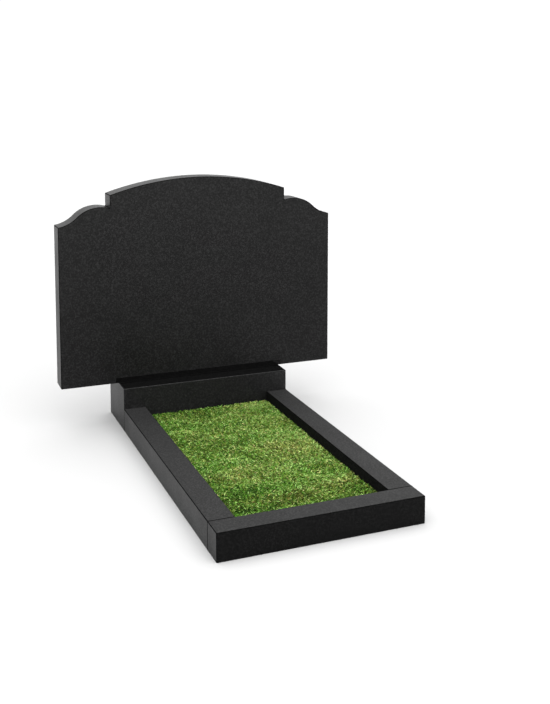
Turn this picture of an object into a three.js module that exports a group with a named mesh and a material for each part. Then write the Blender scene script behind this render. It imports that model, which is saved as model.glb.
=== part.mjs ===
// A polished black granite grave memorial: a wide upright stone, the stele, with a raised arch
// between two swept shoulders, the plinth that it stands on, and a low kerb frame in front of the
// plinth that holds a bed of turf. Millimetres, +Z up, the inscription face looking along -Y.
// The origin is on the ground, in the middle of the whole footprint.

import * as THREE from 'three';

// The stele. Its outline is the same on both halves.
const STELE_WIDTH = 1000;
const STELE_THICKNESS = 80;
const SIDE_HEIGHT = 558; // foot to the shoulder's outer corner
const SHOULDER_WIDTH = 178; // side to the step that leads up to the arch
const SHOULDER_RISE = 63; // outer corner to the shoulder's crest
const CREST_RUN = 35; // crest to the step
const SWEEP_RADIUS = 114; // of the shoulder's round crest, and of the hollow outside it
const STEP_RISE = 45;
const ARCH_RISE = 52; // head of the step to the crown

// The plinth. The kerb frame is as wide as the plinth, so they share one width.
const FRAME_WIDTH = 600;
const PLINTH_DEPTH = 215;
const PLINTH_HEIGHT = 150;
const LEDGE_DEPTH = 70; // plinth left bare in front of the stele

// The kerb frame. Its side kerbs run from the plinth to the front kerb, which covers their ends.
const KERB_HEIGHT = 79;
const SIDE_KERB_WIDTH = 76;
const SIDE_KERB_LENGTH = 924;
const FRONT_KERB_DEPTH = 72;

// The turf, flat between the kerbs and a little lower than they are.
const TURF_DROP = 29;

// Every stone is sawn square, and its sharp edges are eased by a small flat arris.
const ARRIS = 2;

// The bedding joint left between two pieces.
const JOINT = 0.3;

// Each arc of the stele's outline is drawn with twice this many chords.
const ARC_DIVISIONS = 10;

// What follows from the sizes above
const FRAME_DEPTH = FRONT_KERB_DEPTH + JOINT + SIDE_KERB_LENGTH + JOINT + PLINTH_DEPTH;
const FRONT_KERB_Y = -FRAME_DEPTH / 2;
const BED_Y = FRONT_KERB_Y + FRONT_KERB_DEPTH + JOINT;
const PLINTH_Y = BED_Y + SIDE_KERB_LENGTH + JOINT;
const STELE_Y = PLINTH_Y + LEDGE_DEPTH;
const SIDE_KERB_X = (FRAME_WIDTH - SIDE_KERB_WIDTH) / 2;
const BED_WIDTH = FRAME_WIDTH - 2 * SIDE_KERB_WIDTH;

const granite = new THREE.MeshStandardMaterial({ color: 0x1b1c1e, roughness: 0.08, metalness: 0 });
const grass = new THREE.MeshStandardMaterial({ color: 0x6f7c2e, roughness: 1, metalness: 0 });

// The direction from the centre of the shoulder's crest to the centre of its hollow. The two arcs
// have one radius and meet smoothly, and the hollow ends at the outer corner.
function sweepDirection(crestCentre, corner) {
  const span = corner.clone().sub(crestCentre);
  const cosine = (3 * SWEEP_RADIUS ** 2 + span.lengthSq()) / (4 * SWEEP_RADIUS * span.length());
  return span.angle() + Math.acos(cosine);
}

// The right half of the stele's outline in X and Z, from the foot up to the crown.
function steleHalf() {
  const up = Math.PI / 2;
  const sideX = STELE_WIDTH / 2;
  const stepX = sideX - SHOULDER_WIDTH;

  const crest = new THREE.Vector2(stepX + CREST_RUN, SIDE_HEIGHT + SHOULDER_RISE - SWEEP_RADIUS);
  const corner = new THREE.Vector2(sideX - ARRIS, SIDE_HEIGHT);
  const direction = sweepDirection(crest, corner);
  const reach = 2 * SWEEP_RADIUS;
  const hollow = new THREE.Vector2(Math.cos(direction), Math.sin(direction)).multiplyScalar(reach).add(crest);
  const cornerAngle = corner.clone().sub(hollow).angle();

  const stepHeadZ = crest.y + Math.sqrt(SWEEP_RADIUS ** 2 - CREST_RUN ** 2) + STEP_RISE;
  const springX = stepX - ARRIS;
  const archRadius = (springX ** 2 + ARCH_RISE ** 2) / (2 * ARCH_RISE);
  const archTurn = Math.asin(springX / archRadius);

  const half = new THREE.Path();
  half.moveTo(sideX - ARRIS, 0);
  half.lineTo(sideX, ARRIS);
  half.lineTo(sideX, SIDE_HEIGHT - ARRIS);
  half.absarc(hollow.x, hollow.y, SWEEP_RADIUS, cornerAngle, direction + Math.PI, true);
  half.absarc(crest.x, crest.y, SWEEP_RADIUS, direction, up + Math.asin(CREST_RUN / SWEEP_RADIUS), false);
  half.lineTo(stepX, stepHeadZ - ARRIS);
  half.absarc(0, stepHeadZ + ARCH_RISE - archRadius, archRadius, up - archTurn, up, false);
  return half.getPoints(ARC_DIVISIONS);
}

function steleOutline() {
  const right = steleHalf();
  const left = right.slice(0, -1).reverse().map((point) => new THREE.Vector2(-point.x, point.y));
  return new THREE.Shape([...right, ...left]);
}

// A sawn block's outline: a rectangle with its corners eased.
function blockOutline(width, height) {
  const x = width / 2;
  const outline = new THREE.Shape();
  outline.moveTo(x - ARRIS, 0);
  outline.lineTo(x, ARRIS);
  outline.lineTo(x, height - ARRIS);
  outline.lineTo(x - ARRIS, height);
  outline.lineTo(ARRIS - x, height);
  outline.lineTo(-x, height - ARRIS);
  outline.lineTo(-x, ARRIS);
  outline.lineTo(ARRIS - x, 0);
  return outline;
}

// Gives an outline in X and Z its thickness along +Y, from Y = 0, and eases the edges of both faces.
function sawStone(outline, thickness) {
  const geometry = new THREE.ExtrudeGeometry(outline, {
    depth: thickness - 2 * ARRIS,
    bevelThickness: ARRIS,
    bevelSize: ARRIS,
    bevelOffset: -ARRIS,
    bevelSegments: 1,
  });
  geometry.translate(0, 0, ARRIS - thickness);
  geometry.rotateX(Math.PI / 2);
  return geometry;
}

// The soil and the grass on it, as one slab from Y = 0.
function turfSlab(width, length, height) {
  const geometry = new THREE.BoxGeometry(width, length, height);
  geometry.translate(0, length / 2, height / 2);
  return geometry;
}

const memorial = new THREE.Group();
memorial.name = 'memorial';

function place(name, geometry, material, x, y, z) {
  const mesh = new THREE.Mesh(geometry, material);
  mesh.name = name;
  mesh.position.set(x, y, z);
  memorial.add(mesh);
}

place('stele', sawStone(steleOutline(), STELE_THICKNESS), granite, 0, STELE_Y, PLINTH_HEIGHT + JOINT);
place('plinth', sawStone(blockOutline(FRAME_WIDTH, PLINTH_HEIGHT), PLINTH_DEPTH), granite, 0, PLINTH_Y, 0);

for (const [name, side] of [['left_kerb', -1], ['right_kerb', 1]]) {
  const kerb = sawStone(blockOutline(SIDE_KERB_WIDTH, KERB_HEIGHT), SIDE_KERB_LENGTH);
  place(name, kerb, granite, side * SIDE_KERB_X, BED_Y, 0);
}

const frontKerb = sawStone(blockOutline(FRAME_WIDTH, KERB_HEIGHT), FRONT_KERB_DEPTH);
place('front_kerb', frontKerb, granite, 0, FRONT_KERB_Y, 0);

const turf = turfSlab(BED_WIDTH - 2 * JOINT, SIDE_KERB_LENGTH, KERB_HEIGHT - TURF_DROP);
place('turf', turf, grass, 0, BED_Y, 0);

export default memorial;
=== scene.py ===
import math

import bmesh
import bpy
import numpy as np
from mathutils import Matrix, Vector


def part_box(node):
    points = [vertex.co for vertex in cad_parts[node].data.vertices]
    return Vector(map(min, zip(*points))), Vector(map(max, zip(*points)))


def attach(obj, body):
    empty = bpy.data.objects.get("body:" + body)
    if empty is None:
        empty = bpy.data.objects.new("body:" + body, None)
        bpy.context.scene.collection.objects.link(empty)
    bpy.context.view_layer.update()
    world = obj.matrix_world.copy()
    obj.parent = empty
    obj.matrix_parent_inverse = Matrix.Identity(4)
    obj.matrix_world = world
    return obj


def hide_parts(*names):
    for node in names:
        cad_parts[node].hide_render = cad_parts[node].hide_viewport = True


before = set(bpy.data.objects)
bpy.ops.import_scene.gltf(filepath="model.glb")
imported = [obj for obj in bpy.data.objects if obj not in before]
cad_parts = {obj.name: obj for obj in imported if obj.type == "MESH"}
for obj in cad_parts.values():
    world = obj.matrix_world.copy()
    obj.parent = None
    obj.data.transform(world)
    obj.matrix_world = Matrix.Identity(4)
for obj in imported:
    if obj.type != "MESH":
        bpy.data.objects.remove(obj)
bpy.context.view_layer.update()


# The studio. A plain grey-white floor runs out to a plain pale surround, which is brightest overhead
# and behind the camera, so that the light is soft. The camera stands to the left of the bed at chest
# height. The lens shift takes up part of its tilt, so that uprights stay nearly upright.
CAMERA_PLACE = (-1.0453, -2.8609, 1.2174)
CAMERA_TURN = 21.831
CAMERA_TILT = -5.797
LENS_MM = 50.615
LENS_SHIFT = -0.25
FLOOR_REACH = 40.0
FLOOR_WHITE = 0.30
SURROUND_LIGHT = 1.04
OVERHEAD_LIGHT = 5.0
OVERHEAD_SPAN = (0.5, 1.0)
FRONT_LIGHT = 3.6
FRONT_SPAN = (-0.3, -1.0)

lens = bpy.data.cameras.new("portrait_lens")
lens.lens = LENS_MM
lens.shift_y = LENS_SHIFT
lens.clip_end = 4 * FLOOR_REACH
camera = bpy.data.objects.new("portrait_camera", lens)
camera.location = CAMERA_PLACE
camera.rotation_euler = (math.radians(90 + CAMERA_TILT), 0, math.radians(-CAMERA_TURN))
bpy.context.collection.objects.link(camera)
bpy.context.scene.camera = camera
bpy.context.scene.view_settings.view_transform = "Standard"


def wire(tree, kind, **sockets):
    """Adds a node. A socket's name has _ for a space. Its value is a constant or a node's output."""
    node = tree.nodes.new(kind)
    for name, value in sockets.items():
        socket = node.inputs[name.replace("_", " ")]
        if isinstance(value, bpy.types.NodeSocket):
            tree.links.new(value, socket)
        else:
            socket.default_value = value
    return node


def reckon(tree, operation, first, second, third=0.0):
    """Adds a maths node and gives its output. Each value is a constant or a node's output."""
    node = tree.nodes.new("ShaderNodeMath")
    node.operation = operation
    for socket, value in zip(node.inputs, (first, second, third)):
        if isinstance(value, bpy.types.NodeSocket):
            tree.links.new(value, socket)
        else:
            socket.default_value = value
    return node.outputs["Value"]


def fade(tree, value, low, high):
    """Rises smoothly from 0 to 1 as the value goes from low to high."""
    node = wire(tree, "ShaderNodeMapRange", Value=value, From_Min=low, From_Max=high)
    node.interpolation_type = "SMOOTHSTEP"
    return node.outputs["Result"]


surround = bpy.data.worlds.new("surround")
surround.use_nodes = True
sky = surround.node_tree
heading = wire(sky, "ShaderNodeTexCoord").outputs["Generated"]
facing = wire(sky, "ShaderNodeSeparateXYZ", Vector=heading)
overhead = fade(sky, facing.outputs["Z"], *OVERHEAD_SPAN)
in_front = fade(sky, facing.outputs["Y"], *FRONT_SPAN)
brightness = reckon(sky, "MULTIPLY_ADD", overhead, OVERHEAD_LIGHT, SURROUND_LIGHT)
brightness = reckon(sky, "MULTIPLY_ADD", in_front, FRONT_LIGHT, brightness)
sky.links.new(brightness, sky.nodes["Background"].inputs["Strength"])
sky.nodes["Background"].inputs["Color"].default_value = (1.0, 1.0, 1.0, 1.0)
bpy.context.scene.world = surround


def new_piece(name, vertices, faces):
    """A mesh piece with that name, from its vertices and faces."""
    mesh = bpy.data.meshes.new(name)
    mesh.from_pydata(vertices, [], faces)
    mesh.validate()
    piece = bpy.data.objects.new(name, mesh)
    bpy.context.collection.objects.link(piece)
    return piece


floor_corners = [(x * FLOOR_REACH, y * FLOOR_REACH, 0.0) for x, y in ((-1, -1), (1, -1), (1, 1), (-1, 1))]
floor = new_piece("pale_floor", floor_corners, [(0, 1, 2, 3)])
pale = bpy.data.materials.new("pale_floor")
pale.use_nodes = True
pale_paint = pale.node_tree.nodes["Principled BSDF"]
pale_paint.inputs["Base Color"].default_value = (FLOOR_WHITE, FLOOR_WHITE, FLOOR_WHITE, 1.0)
pale_paint.inputs["Roughness"].default_value = 1.0
pale_paint.inputs["Specular IOR Level"].default_value = 0.0
floor.data.materials.append(pale)


# The stele. One slab of near-black granite, 80 mm thick, sawn to a raised arch between two swept
# shoulders. Its faces are polished, its ends and top left satin, and its edges ground to a small
# arris. It stands on the plinth by its own weight, on a thin bedding joint.
SHOULDER_WIDTH = 0.178
SHOULDER_RISE = 0.063
SIDE_HEIGHT = 0.558
CREST_RUN = 0.035
SWEEP_RADIUS = 0.114
STEP_RISE = 0.045
ARC_STEPS = 24
ARRIS = 0.002
SHARP_FROM = 30


def arc(centre, radius, start, end, steps):
    """Points on an arc in X and Z from one angle to another, both ends included."""
    angles = [start + (end - start) * i / steps for i in range(steps + 1)]
    return [(centre[0] + radius * math.cos(a), centre[1] + radius * math.sin(a)) for a in angles]


def stele_outline(low, high):
    """The slab's outline in X and Z, anticlockwise from the right foot."""
    side = high.x
    foot = low.z
    step = side - SHOULDER_WIDTH
    crest = (step + CREST_RUN, foot + SIDE_HEIGHT + SHOULDER_RISE - SWEEP_RADIUS)
    corner = (side, foot + SIDE_HEIGHT)
    span = math.dist(crest, corner)
    slope = math.atan2(corner[1] - crest[1], corner[0] - crest[0])
    turn = slope + math.acos((3 * SWEEP_RADIUS**2 + span**2) / (4 * SWEEP_RADIUS * span))
    hollow = (crest[0] + 2 * SWEEP_RADIUS * math.cos(turn), crest[1] + 2 * SWEEP_RADIUS * math.sin(turn))
    corner_angle = math.atan2(corner[1] - hollow[1], corner[0] - hollow[0])
    step_foot = crest[1] + math.sqrt(SWEEP_RADIUS**2 - CREST_RUN**2)
    step_head = step_foot + STEP_RISE
    rise = high.z - step_head
    arch_radius = (step**2 + rise**2) / (2 * rise)
    arch_turn = math.asin(step / arch_radius)
    up = math.pi / 2
    crest_end = up + math.asin(CREST_RUN / SWEEP_RADIUS)

    right = [(side, foot)]
    right += arc(hollow, SWEEP_RADIUS, corner_angle, turn - math.pi, ARC_STEPS)
    right += arc(crest, SWEEP_RADIUS, turn, crest_end, ARC_STEPS)[1:]
    right += arc((0.0, high.z - arch_radius), arch_radius, up - arch_turn, up, 2 * ARC_STEPS)
    left = [(-x, z) for x, z in reversed(right[:-1])]
    return right + left


def saw_slab(name, outline, front, back):
    """Cuts an outline in X and Z out of a slab that reaches from front to back along Y."""
    count = len(outline)
    vertices = [(x, front, z) for x, z in outline] + [(x, back, z) for x, z in outline]
    faces = [tuple(range(count)), tuple(reversed(range(count, 2 * count)))]
    faces += [(i, i + count, (i + 1) % count + count, (i + 1) % count) for i in range(count)]
    return new_piece(name, vertices, faces)


def ease_edges(piece, width, finish_number):
    """Grinds a flat arris along a stone's sharp edges, in the piece's material of that number."""
    for face in piece.data.polygons:
        face.use_smooth = True
    easing = piece.modifiers.new("eased_edges", "BEVEL")
    easing.width = width
    easing.segments = 1
    easing.limit_method = "ANGLE"
    easing.angle_limit = math.radians(SHARP_FROM)
    easing.harden_normals = True
    easing.material = finish_number


def ramp(tree, factor, *stops):
    """A colour ramp over factor. Each stop is a place and a colour."""
    node = wire(tree, "ShaderNodeValToRGB", Fac=factor)
    for _ in stops[2:]:
        node.color_ramp.elements.new(1.0)
    for element, (place, colour) in zip(node.color_ramp.elements, stops):
        element.position = place
        element.color = (*colour, 1.0)
    return node.outputs["Color"]


# The granite's finishes: how dark its ground mass looks, how light its feldspar, how hazy the surface
# is, and how strongly it mirrors, as an index of refraction.
POLISHED = {"ground": 0.0018, "feldspar": 0.0052, "haze": 0.36, "gloss": 1.245}
SATIN = {"ground": 0.0028, "feldspar": 0.0057, "haze": 0.40, "gloss": 1.25}
# The sides towards the bed: rough, and darker in colour as painted shade.
SAWN_WITH_PAINTED_SHADE = {"ground": 0.0010, "feldspar": 0.0028, "haze": 0.85, "gloss": 1.18}
GROUND = {"ground": 0.0006, "feldspar": 0.0013, "haze": 0.80, "gloss": 1.12}
CRYSTALS_PER_METRE = 300.0
MOTTLES_PER_METRE = 190.0
CLOUDS_PER_METRE = 7.0
MOTTLE_SHARE = 0.4
SPARKLE = 0.28
CLOUDING = 0.1


def granite(name, finish, quarry_place):
    """Black granite in that finish. quarry_place is where in the rock the stone's grain starts."""
    stone = bpy.data.materials.new(name)
    stone.use_nodes = True
    tree = stone.node_tree
    shader = tree.nodes["Principled BSDF"]
    place = wire(tree, "ShaderNodeTexCoord").outputs["Object"]
    rock = wire(tree, "ShaderNodeMapping", Vector=place, Location=quarry_place).outputs["Vector"]

    mottle = wire(tree, "ShaderNodeTexNoise", Vector=rock, Scale=MOTTLES_PER_METRE, Detail=3.0, Roughness=0.6)
    crystals = wire(tree, "ShaderNodeTexVoronoi", Vector=rock, Scale=CRYSTALS_PER_METRE)
    grey = fade(tree, mottle.outputs["Fac"], 0.35, 0.65)
    fleck = reckon(tree, "MULTIPLY", crystals.outputs["Color"], 1 - MOTTLE_SHARE)
    share = fade(tree, reckon(tree, "MULTIPLY_ADD", grey, MOTTLE_SHARE, fleck), 0.3, 0.9)
    ground = (finish["ground"],) * 3
    feldspar = (finish["feldspar"],) * 3
    tree.links.new(ramp(tree, share, (0.0, ground), (1.0, feldspar)), shader.inputs["Base Color"])
    shine = reckon(tree, "MULTIPLY_ADD", share, SPARKLE, (1 - SPARKLE) / 2)
    tree.links.new(shine, shader.inputs["Specular IOR Level"])

    cloud = wire(tree, "ShaderNodeTexNoise", Vector=rock, Scale=CLOUDS_PER_METRE, Detail=3.0)
    haze = wire(tree, "ShaderNodeMapRange", Value=cloud.outputs["Fac"], From_Min=0.3, From_Max=0.7)
    haze.inputs["To Min"].default_value = (1 - CLOUDING) * finish["haze"]
    haze.inputs["To Max"].default_value = (1 + CLOUDING) * finish["haze"]
    tree.links.new(haze.outputs["Result"], shader.inputs["Roughness"])
    shader.inputs["IOR"].default_value = finish["gloss"]
    return stone


SQUARE_ON = 0.995


def finish_stone(piece, name, quarry_place, face_finish, top_finish, arris_finish):
    """Finishes a stone's faces, top and arris. Its ends are satin, and a side towards the bed is sawn and
    darker in colour, as painted shade.
    """
    for finish in (face_finish, SATIN, top_finish, arris_finish, SAWN_WITH_PAINTED_SHADE):
        piece.data.materials.append(granite(name, finish, quarry_place))
    for face in piece.data.polygons:
        if abs(face.normal.y) > SQUARE_ON:
            face.material_index = 0
        elif face.normal.z > SQUARE_ON:
            face.material_index = 2
        # Flat ends that face inwards, towards the bed, get the darker finish as painted shade.
        elif abs(face.normal.x) > SQUARE_ON and face.normal.x * face.center.x < 0:
            face.material_index = 4
        else:
            face.material_index = 1


# The painted shade band on the stele's foot: its height, its half width, its soft edge, and the share of
# colour and roughness left in it.
FOOT_STRIP = 0.018
FOOT_REACH = 0.310
FOOT_FEATHER = 0.0018
FOOT_SHARE = 0.08


def paint_shade_band_at_foot(stone, foot):
    """Paints shade as a dark, smoother strip above the plinth: base colour and roughness drop to a small
    share there.
    """
    tree = stone.node_tree
    shader = tree.nodes["Principled BSDF"]
    place = wire(tree, "ShaderNodeTexCoord").outputs["Object"]
    along = wire(tree, "ShaderNodeSeparateXYZ", Vector=place)
    strip_top = foot + FOOT_STRIP
    above = fade(tree, along.outputs["Z"], strip_top - FOOT_FEATHER, strip_top + FOOT_FEATHER)
    across = reckon(tree, "ABSOLUTE", along.outputs["X"], 0.0)
    beside = fade(tree, across, FOOT_REACH - FOOT_FEATHER, FOOT_REACH + FOOT_FEATHER)
    painted_band_scale = reckon(tree, "MAXIMUM", above, beside)
    painted_band_scale = reckon(tree, "MULTIPLY_ADD", painted_band_scale, 1 - FOOT_SHARE, FOOT_SHARE)
    haze = reckon(tree, "MULTIPLY", painted_band_scale, shader.inputs["Roughness"].links[0].from_socket)
    tree.links.new(haze, shader.inputs["Roughness"])
    colour = wire(tree, "ShaderNodeVectorMath", Vector=shader.inputs["Base Color"].links[0].from_socket)
    colour.operation = "SCALE"
    tree.links.new(painted_band_scale, colour.inputs["Scale"])
    tree.links.new(colour.outputs["Vector"], shader.inputs["Base Color"])


stele_low, stele_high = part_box("stele")
stele = saw_slab("stele_slab", stele_outline(stele_low, stele_high), stele_low.y, stele_high.y)
ease_edges(stele, ARRIS, 3)
finish_stone(stele, "stele_granite", (0.0, 0.0, 0.0), POLISHED, SATIN, GROUND)
# The stele's polished faces get a painted shade band along the foot.
paint_shade_band_at_foot(stele.data.materials[0], stele_low.z)
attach(stele, "root")
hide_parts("stele")


# The plinth. A block of the same granite, sawn square and laid flat. Its front is polished up to the
# edge, and its top is polished smoother; its darker colour there is painted shade of the stele on the
# ledge. The stele stands towards its back, so a bare ledge runs along its front, over the bed.
def saw_block(name, node):
    """A square block that fills a CAD node's box, with its edges eased."""
    low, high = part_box(node)
    outline = [(high.x, low.z), (high.x, high.z), (low.x, high.z), (low.x, low.z)]
    block = saw_slab(name, outline, low.y, high.y)
    ease_edges(block, ARRIS, 3)
    return block


WORN_POLISH = {"ground": 0.0040, "feldspar": 0.0090, "haze": 0.27, "gloss": 1.25}
# The plinth's top: smoother and less glossy, and darker in colour as painted shade of the stele on the ledge.
DARK_POLISH_WITH_PAINTED_SHADE = {"ground": 0.0010, "feldspar": 0.0024, "haze": 0.20, "gloss": 1.14}

plinth_low, plinth_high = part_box("plinth")
plinth = saw_block("plinth_block", "plinth")
finish_stone(plinth, "plinth_granite", (3.1, 0.7, 1.9), WORN_POLISH, DARK_POLISH_WITH_PAINTED_SHADE, WORN_POLISH)
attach(plinth, "root")
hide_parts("plinth")


# The kerb frame. Two side kerbs butt against the plinth's front, and the front kerb covers their
# other ends, so its own ends show at the sides. All three are strips of the same granite, bedded on
# the ground: honed on top, polished in front, satin outside, and left as sawn towards the bed, where
# their darker colour is painted shade.
KERB_FACE = {"ground": 0.0012, "feldspar": 0.0026, "haze": 0.27, "gloss": 1.18}
HONED = {"ground": 0.0080, "feldspar": 0.0130, "haze": 0.70, "gloss": 1.24}
KERBS = (("left_kerb", (5.3, 2.2, 0.4)), ("right_kerb", (1.7, 8.8, 3.6)), ("front_kerb", (9.4, 4.1, 7.2)))
for node, quarry_place in KERBS:
    kerb = saw_block(node + "_stone", node)
    finish_stone(kerb, node + "_granite", quarry_place, KERB_FACE, HONED, GROUND)
    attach(kerb, "root")
    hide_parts(node)


# The joints. Black stone resin is pressed into the grooves that the eased edges make where two stones
# meet, and struck off a little below the surface: under the stele's foot, where the side kerbs meet
# the plinth, and where they meet the front kerb.
RESIN_BLACK = (0.0008, 0.0008, 0.0008)
RESIN_DUSTY = (0.0040, 0.0040, 0.0040)
RESIN_HAZE = 0.75
RESIN_GLOSS = 1.12
DUST_PER_METRE = 600.0
JOINT_GROOVE = ((0.0004, -0.0017), (0.0008, 0.0), (0.0004, 0.0017), (0.0019, 0.0002), (0.0019, -0.0002))
CORNER_GROOVE = ((0.0004, 0.0), (0.0004, 0.0017), (0.0019, 0.0002), (0.0019, 0.0))


def press_resin(profile, across, path):
    """A bead along a path of (place, inward direction). profile gives depths inward and offsets across."""
    vertices = []
    for place, inward in path:
        for depth, offset in profile:
            vertices.append(tuple(p + depth * i + offset * a for p, i, a in zip(place, inward, across)))
    size = len(profile)
    last = len(vertices) - size
    faces = [tuple(range(size)), tuple(last + i for i in reversed(range(size)))]
    for start in range(0, last, size):
        for i in range(size):
            following = (i + 1) % size
            faces.append((start + following, start + i, start + size + i, start + size + following))
    return vertices, faces


beads = []
kerb_low, kerb_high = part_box("left_kerb")
front_low, front_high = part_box("front_kerb")
kerb_top = kerb_high.z
seam = (kerb_low.y + front_high.y) / 2
meeting = (kerb_high.y + plinth_low.y) / 2
for side in (-1, 1):
    outer = side * abs(kerb_low.x)
    inner = side * (abs(kerb_high.x) + ARRIS)
    into = (-side, 0, 0)
    down = (0, 0, -1)
    over_corner = (((outer, seam, 0.0), into), ((outer, seam, kerb_top), (-side, 0, -1)))
    beads.append(press_resin(JOINT_GROOVE, (0, 1, 0), (*over_corner, ((inner, seam, kerb_top), down))))
    up_the_side = (((outer, meeting, 0.0), into), ((outer, meeting, kerb_top), into))
    beads.append(press_resin(JOINT_GROOVE, (0, 1, 0), up_the_side))
    across_the_end = [((x, plinth_low.y, kerb_top), down) for x in (outer - side * ARRIS, inner)]
    beads.append(press_resin(CORNER_GROOVE, (0, -1, 0), across_the_end))
for face_y, inward in ((stele_low.y, (0, 1, 0)), (stele_high.y, (0, -1, 0))):
    foot = [((side * (plinth_high.x - ARRIS), face_y, plinth_high.z), inward) for side in (-1, 1)]
    beads.append(press_resin(CORNER_GROOVE, (0, 0, 1), foot))

bead_vertices = []
bead_faces = []
for vertices, faces in beads:
    first = len(bead_vertices)
    bead_vertices += vertices
    bead_faces += [tuple(first + i for i in face) for face in faces]
joints = new_piece("joint_resin", bead_vertices, bead_faces)
tidy = bmesh.new()
tidy.from_mesh(joints.data)
bmesh.ops.recalc_face_normals(tidy, faces=tidy.faces)
tidy.to_mesh(joints.data)
tidy.free()
resin = bpy.data.materials.new("black_resin")
resin.use_nodes = True
resin_tree = resin.node_tree
resin_shader = resin_tree.nodes["Principled BSDF"]
resin_place = wire(resin_tree, "ShaderNodeTexCoord").outputs["Object"]
dust = wire(resin_tree, "ShaderNodeTexNoise", Vector=resin_place, Scale=DUST_PER_METRE, Detail=2.0)
dusty = ramp(resin_tree, dust.outputs["Fac"], (0.35, RESIN_BLACK), (0.75, RESIN_DUSTY))
resin_tree.links.new(dusty, resin_shader.inputs["Base Color"])
resin_shader.inputs["Roughness"].default_value = RESIN_HAZE
resin_shader.inputs["IOR"].default_value = RESIN_GLOSS
joints.data.materials.append(resin)
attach(joints, "root")


# The turf's ground. Dark soil under a mat of dead grass, filled in between the kerbs and trodden
# slightly uneven. The blades are rooted in it.
turf_low, turf_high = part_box("turf")
SOIL_STEP = 0.008
SOIL_BELOW_TIPS = 0.0120
SOIL_ROUGHNESS = 0.0012
SOIL_LUMP = 0.12
SOIL_CLOD = 0.035
SOIL_HAZE = 0.95
CRUMBS_PER_METRE = 240.0
DAMP_SOIL = (0.006, 0.007, 0.002)
SOIL_COLOUR = (0.016, 0.020, 0.005)
THATCH_COLOUR = (0.045, 0.043, 0.016)
SWELL_WAVES = 14
SWELL_MIX = (0.6, 1.6)
SWELL_PEAK = 1.6


def swells(x, y, wavelength, seed):
    """A smooth random field over the bed, about -1 to 1, as a sum of waves in many directions."""
    dice = np.random.default_rng(seed)
    heading = dice.uniform(0, math.tau, SWELL_WAVES)
    pace = math.tau / (wavelength * dice.uniform(*SWELL_MIX, SWELL_WAVES))
    start = dice.uniform(0, math.tau, SWELL_WAVES)
    total = sum(
        np.sin(p * (x * math.cos(h) + y * math.sin(h)) + s) for h, p, s in zip(heading, pace, start)
    )
    return total / math.sqrt(SWELL_WAVES / 2) / SWELL_PEAK


def soil_height(x, y):
    """The height of the ground at a place in the bed."""
    lumps = 0.6 * swells(x, y, SOIL_LUMP, 11) + 0.4 * swells(x, y, SOIL_CLOD, 12)
    return turf_high.z - SOIL_BELOW_TIPS + SOIL_ROUGHNESS * lumps


columns = math.ceil((turf_high.x - turf_low.x) / SOIL_STEP) + 1
rows = math.ceil((turf_high.y - turf_low.y) / SOIL_STEP) + 1
soil_x, soil_y = np.meshgrid(
    np.linspace(turf_low.x, turf_high.x, columns), np.linspace(turf_low.y, turf_high.y, rows)
)
soil_z = soil_height(soil_x, soil_y)
top = np.stack([soil_x, soil_y, soil_z], axis=-1).reshape(-1, 3)
rim = list(range(columns))
rim += [r * columns + columns - 1 for r in range(1, rows)]
rim += [(rows - 1) * columns + c for c in range(columns - 2, -1, -1)]
rim += [r * columns for r in range(rows - 2, 0, -1)]
bottom = [(top[i][0], top[i][1], turf_low.z) for i in rim]
soil_vertices = [tuple(p) for p in top] + bottom
cells = [r * columns + c for r in range(rows - 1) for c in range(columns - 1)]
soil_faces = [(i, i + 1, i + columns + 1, i + columns) for i in cells]
first = len(top)
around = len(rim)
soil_faces += [
    (rim[(i + 1) % around], rim[i], first + i, first + (i + 1) % around) for i in range(around)
]
soil_faces.append(tuple(first + i for i in reversed(range(around))))
soil = new_piece("turf_soil", soil_vertices, soil_faces)
earth = bpy.data.materials.new("soil_and_thatch")
earth.use_nodes = True
earth_tree = earth.node_tree
earth_shader = earth_tree.nodes["Principled BSDF"]
earth_place = wire(earth_tree, "ShaderNodeTexCoord").outputs["Object"]
crumbs = wire(
    earth_tree, "ShaderNodeTexNoise", Vector=earth_place, Scale=CRUMBS_PER_METRE, Detail=5.0, Roughness=0.7
)
earth_colour = ramp(
    earth_tree,
    crumbs.outputs["Fac"],
    (0.35, DAMP_SOIL),
    (0.55, SOIL_COLOUR),
    (0.75, THATCH_COLOUR),
)
earth_tree.links.new(earth_colour, earth_shader.inputs["Base Color"])
earth_shader.inputs["Roughness"].default_value = SOIL_HAZE
earth_bump = wire(earth_tree, "ShaderNodeBump", Height=crumbs.outputs["Fac"], Strength=0.6, Distance=0.002)
earth_tree.links.new(earth_bump.outputs["Normal"], earth_shader.inputs["Normal"])
soil.data.materials.append(earth)
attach(soil, "root")
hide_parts("turf")


# The grass. A mown lawn's short blades, rooted in the soil and mostly combed across the bed, with
# duller and drier ones among the fresh ones. Each blade is a narrow strip, bent once and pointed.
BLADE_LENGTH = 0.0120
LENGTH_RANGE = (0.6, 1.35)
BLADE_WIDTH = 0.0017
WIDTH_RANGE = (0.7, 1.25)
BEND_AT = 0.55
ROOT_DEPTH = 0.001
MAT_DEPTH = 0.007
TIP_ROOM = 0.001
KERB_CLEARANCE = 0.0004

# Which way the blades lie, in radians: round from +X, and over from upright.
COMBED = -0.35
COMB_SPREAD = 0.75
LEAN = 1.15
LEAN_SPREAD = 0.25
LEAN_RANGE = (0.3, 1.5)
DROOP = (-0.1, 0.45)
DROOP_RANGE = (0.3, 1.75)
TWIST_SPREAD = 0.7

# How light they are, from 0 to 1, and what the right side, the open middle and the patches add.
# Blades lower in the mat are darkened as painted shade, to a share of their tone at the soil.
TONE = 0.22
TONE_TO_RIGHT = 0.06
TONE_IN_OPEN = 0.24
TONE_IN_PATCHES = 0.17
TONE_SPREAD = 0.38
PAINTED_SHADE_AT_SOIL = 0.15

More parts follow.
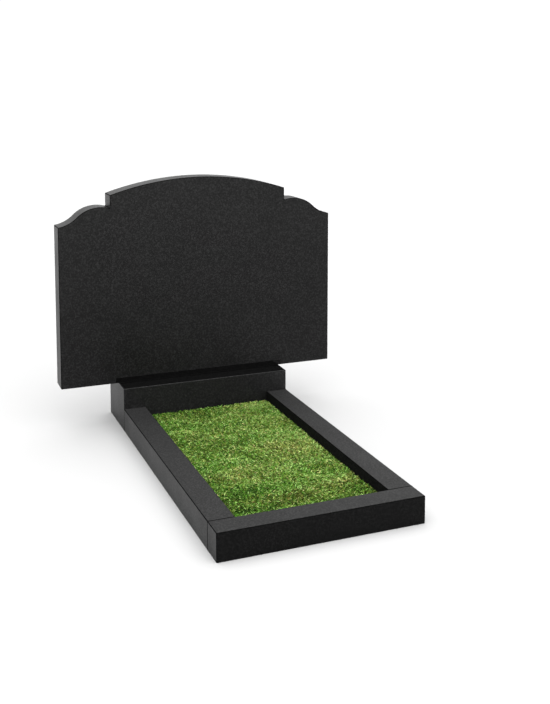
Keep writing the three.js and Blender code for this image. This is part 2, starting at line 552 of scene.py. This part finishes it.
# How far they have turned to straw, and the one spot that is dry.
WILT_TO_RIGHT = 0.05
WILT_IN_PATCHES = 0.14
WILT_IN_SPOT = 0.22
WILT_SPREAD = 0.24
DRY_SPOT = (0.14, -0.08)
DRY_REACH = 0.09
GREENS = ((0.005, 0.021, 0.002), (0.058, 0.162, 0.012), (0.250, 0.425, 0.120))
STRAWS = ((0.042, 0.044, 0.008), (0.212, 0.188, 0.046), (0.530, 0.440, 0.200))
# Painted shade and highlight up each blade, corner by corner from root to tip: the root darkened to a tenth,
# the tip lightened.
ROOT_SHADE_AND_TIP_LIGHT = (0.10, 0.10, 1.0, 1.0, 1.15)
LEAF_HAZE = 0.5
LEAF_SHINE = 0.03


def grow_blades(name, count, seed, dryness, bottom, top):
    """Grows that many blades from between two levels of the mat. dryness turns their green to straw."""
    dice = np.random.default_rng(seed)
    x = dice.uniform(turf_low.x, turf_high.x, count)
    y = dice.uniform(turf_low.y, turf_high.y, count)
    layer = dice.uniform(bottom, top, count)
    root = np.stack([x, y, soil_height(x, y) - ROOT_DEPTH + MAT_DEPTH * layer], axis=1)
    heading = COMBED + math.pi * dice.integers(0, 2, count) + dice.normal(0, COMB_SPREAD, count)
    heading += 0.5 * swells(x, y, 0.05, 21)
    lean = np.clip(dice.normal(LEAN, LEAN_SPREAD, count), *LEAN_RANGE)
    droop = np.clip(lean + dice.uniform(*DROOP, count), *DROOP_RANGE)
    length = BLADE_LENGTH * dice.uniform(*LENGTH_RANGE, count) * (1 + 0.12 * swells(x, y, 0.09, 22))
    half_width = BLADE_WIDTH * dice.uniform(*WIDTH_RANGE, count) / 2
    twist = dice.normal(0, TWIST_SPREAD, count)

    def along(angle):
        return np.stack([np.cos(heading) * np.sin(angle), np.sin(heading) * np.sin(angle), np.cos(angle)], 1)

    middle = root + along(lean) * (BEND_AT * length)[:, None]
    tip = middle + along(droop) * ((1 - BEND_AT) * length)[:, None]
    across = np.stack([-np.sin(heading) * np.cos(twist), np.cos(heading) * np.cos(twist), np.sin(twist)], 1)
    across *= half_width[:, None]
    points = np.stack([root - across, root + across, middle + across, middle - across, tip], axis=1)
    inner_low = np.array(turf_low) + (KERB_CLEARANCE, KERB_CLEARANCE, 0.0)
    inner_high = np.array(turf_high) + (-KERB_CLEARANCE, -KERB_CLEARANCE, TIP_ROOM)
    pushed_in = np.clip(inner_low - points.min(axis=1), 0, None)
    pushed_in -= np.clip(points.max(axis=1) - inner_high, 0, None)
    points = (points + pushed_in[:, None, :]).reshape(-1, 3)

    base = 5 * np.arange(count)[:, None]
    lower = base + np.array([[0, 1, 2, 3]])
    upper = base + np.array([[3, 2, 4]])
    faces = [tuple(f) for f in lower.tolist()] + [tuple(f) for f in upper.tolist()]
    piece = new_piece(name, points.tolist(), faces)

    patch = 0.5 * swells(0.6 * x, y, 0.22, 23) + 0.5 * swells(0.45 * x, y, 0.07, 24)
    to_right = x / turf_high.x
    to_stele = (y - turf_low.y) / (turf_high.y - turf_low.y)
    open_middle = np.clip(2.2 * to_stele, 0, 1) - 0.25 * np.clip(2 * to_stele - 1, 0, 1)
    tone = TONE + TONE_TO_RIGHT * to_right + TONE_IN_OPEN * open_middle + TONE_IN_PATCHES * patch
    tone += dice.normal(0, TONE_SPREAD, count)
    # Painted shade: blades lower in the mat are darker.
    tone = np.clip(tone, 0, 1) * (PAINTED_SHADE_AT_SOIL + (1 - PAINTED_SHADE_AT_SOIL) * layer)
    parched = np.exp(-(((x - DRY_SPOT[0]) / DRY_REACH) ** 2) - ((y - DRY_SPOT[1]) / DRY_REACH) ** 2)
    wilt = dryness + WILT_TO_RIGHT * to_right + WILT_IN_SPOT * parched
    wilt += WILT_IN_PATCHES * swells(0.6 * x, y, 0.16, 25)
    yellow = np.clip(wilt + dice.normal(0, WILT_SPREAD, count), 0, 1)

    def at_tone(colours):
        return np.stack([np.interp(tone, (0.0, 0.5, 1.0), channel) for channel in zip(*colours)], axis=1)

    fresh = at_tone(GREENS)
    colour = fresh + (at_tone(STRAWS) - fresh) * yellow[:, None]
    painted = np.ones((count, 5, 4))
    # Each corner's colour is scaled by the painted root shade and tip highlight.
    painted[:, :, :3] = colour[:, None, :] * np.array(ROOT_SHADE_AND_TIP_LIGHT)[None, :, None]
    paint = piece.data.color_attributes.new("blade_colour", "FLOAT_COLOR", "POINT")
    paint.data.foreach_set("color", painted.reshape(-1))
    return piece


leaf = bpy.data.materials.new("grass_blade")
leaf.use_nodes = True
leaf_tree = leaf.node_tree
leaf_shader = leaf_tree.nodes["Principled BSDF"]
leaf_colour = leaf_tree.nodes.new("ShaderNodeVertexColor")
leaf_colour.layer_name = "blade_colour"
leaf_tree.links.new(leaf_colour.outputs["Color"], leaf_shader.inputs["Base Color"])
leaf_shader.inputs["Roughness"].default_value = LEAF_HAZE
leaf_shader.inputs["Specular IOR Level"].default_value = LEAF_SHINE
for name, count, seed, dryness, bottom, top in (
    ("grass_under", 62000, 31, 0.20, 0.0, 0.5),
    ("grass_upper", 66000, 32, 0.10, 0.4, 1.0),
    ("grass_tips", 42000, 34, 0.10, 0.6, 1.1),
    ("grass_dry", 22000, 33, 0.72, 0.1, 1.0),
):
    grass = grow_blades(name, count, seed, dryness, bottom, top)
    grass.data.materials.append(leaf)
    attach(grass, "root")
    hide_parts("turf")


# The scene is brought up to date.
bpy.context.view_layer.update()
